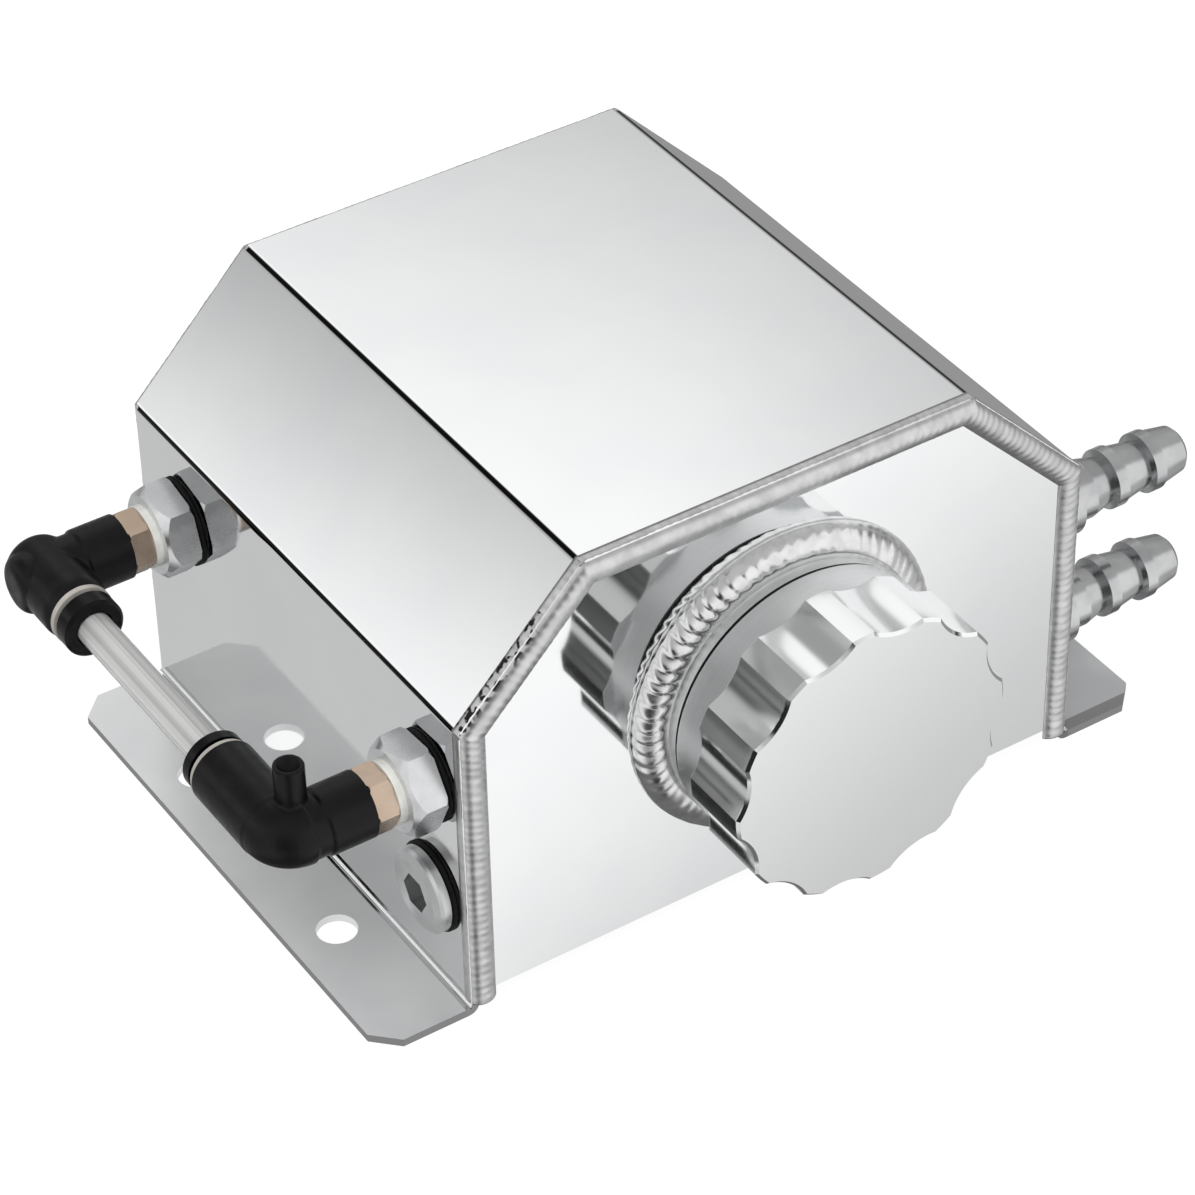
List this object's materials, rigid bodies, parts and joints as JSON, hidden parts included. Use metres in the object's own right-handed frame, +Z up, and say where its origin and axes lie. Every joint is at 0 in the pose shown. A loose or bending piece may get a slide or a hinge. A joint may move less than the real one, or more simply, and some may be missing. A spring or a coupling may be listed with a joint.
{
  "type": "oil catch can",
  "caption": "Folded and welded polished aluminium oil catch can with flanges, fluted screw cap, side sight tube on push-in elbows, drain plug and hose barbs.",
  "frame": {"origin": "centre of the four mounting holes, on the underside of the mounting flanges", "axes": "+X across the tank from the sight tube to the hose barbs, +Y from the cap to the rear plate, +Z up out of the mounting surface"},
  "size_m": [0.1809, 0.1292, 0.0828],
  "materials": {
    "mirror_aluminium": "mirror polished",
    "floor_aluminium": "plain sheet",
    "weld_aluminium": "rippled weld metal, satin",
    "polished_aluminium": "turned and polished",
    "machined_aluminium": "turned, satin",
    "black_rubber": "matt",
    "white_seal": "milky, matt",
    "nickel_brass": "nickel plated, satin",
    "black_nylon": "satin moulding",
    "grey_plastic": "semi-gloss",
    "spring_steel": "bright",
    "clear_tube": "clear, slightly milky"
  },
  "bodies": {
    "tank": {"body_sheet": "mirror_aluminium", "front_plate": "mirror_aluminium", "rear_plate": "mirror_aluminium", "floor_plate": "floor_aluminium", "front_weld_bead": "weld_aluminium", "rear_weld_bead": "weld_aluminium", "floor_weld": "weld_aluminium", "neck_weld": "weld_aluminium", "filler_neck": "polished_aluminium", "drain_boss": "machined_aluminium", "barb_boss_upper": "machined_aluminium", "barb_boss_lower": "machined_aluminium", "hose_barb_upper": "machined_aluminium", "hose_barb_lower": "machined_aluminium", "port_adaptor_front": "machined_aluminium", "port_adaptor_rear": "machined_aluminium", "lock_nut_front": "machined_aluminium", "lock_nut_rear": "machined_aluminium", "port_washer_front": "black_rubber", "port_washer_rear": "black_rubber", "tube_seal_front": "black_rubber", "tube_seal_rear": "black_rubber", "stem_seal_front": "white_seal", "stem_seal_rear": "white_seal", "elbow_stem_front": "nickel_brass", "elbow_stem_rear": "nickel_brass", "elbow_body_front": "black_nylon", "elbow_body_rear": "black_nylon", "elbow_band_front": "grey_plastic", "elbow_band_rear": "grey_plastic", "grip_ring_front": "spring_steel", "grip_ring_rear": "spring_steel", "sight_tube": "clear_tube"},
    "cap_seal": {"cap_seal": "black_rubber"},
    "filler_cap": {"filler_cap": "polished_aluminium"},
    "drain_washer": {"drain_washer": "black_rubber"},
    "drain_plug": {"drain_plug": "machined_aluminium"},
    "release_collar_front": {"release_collar_front": "black_nylon"},
    "release_collar_rear": {"release_collar_rear": "black_nylon"}
  },
  "joints": [
    {"name": "cap_lift", "type": "slide", "parent": "tank", "child": "cap_seal", "axis": [0, -1, 0], "range_m": [0, 0.008]},
    {"name": "cap_turn", "type": "hinge", "parent": "cap_seal", "child": "filler_cap", "pos_m": [0, -0.05135, 0.043], "axis": [0, -1, 0], "range_deg": [0, 1440]},
    {"name": "plug_lift", "type": "slide", "parent": "tank", "child": "drain_washer", "axis": [-1, 0, 0], "range_m": [0, 0.00675]},
    {"name": "plug_turn", "type": "hinge", "parent": "drain_washer", "child": "drain_plug", "pos_m": [-0.06, -0.04085, 0.0203], "axis": [-1, 0, 0], "range_deg": [0, 1620.01]},
    {"name": "collar_push_front", "type": "slide", "parent": "tank", "child": "release_collar_front", "axis": [0, -1, 0], "range_m": [0, 0.0008], "stiffness_N_per_m": 500, "springref_m": -0.0005},
    {"name": "collar_push_rear", "type": "slide", "parent": "tank", "child": "release_collar_rear", "axis": [0, 1, 0], "range_m": [0, 0.0008], "stiffness_N_per_m": 500, "springref_m": -0.0005}
  ],
  "couplings": [
    {"joint": "cap_lift", "follows": "cap_turn", "m_per_rad": 0.00031831},
    {"joint": "plug_turn", "follows": "plug_lift", "rad_per_m": 4188.8}
  ]
}
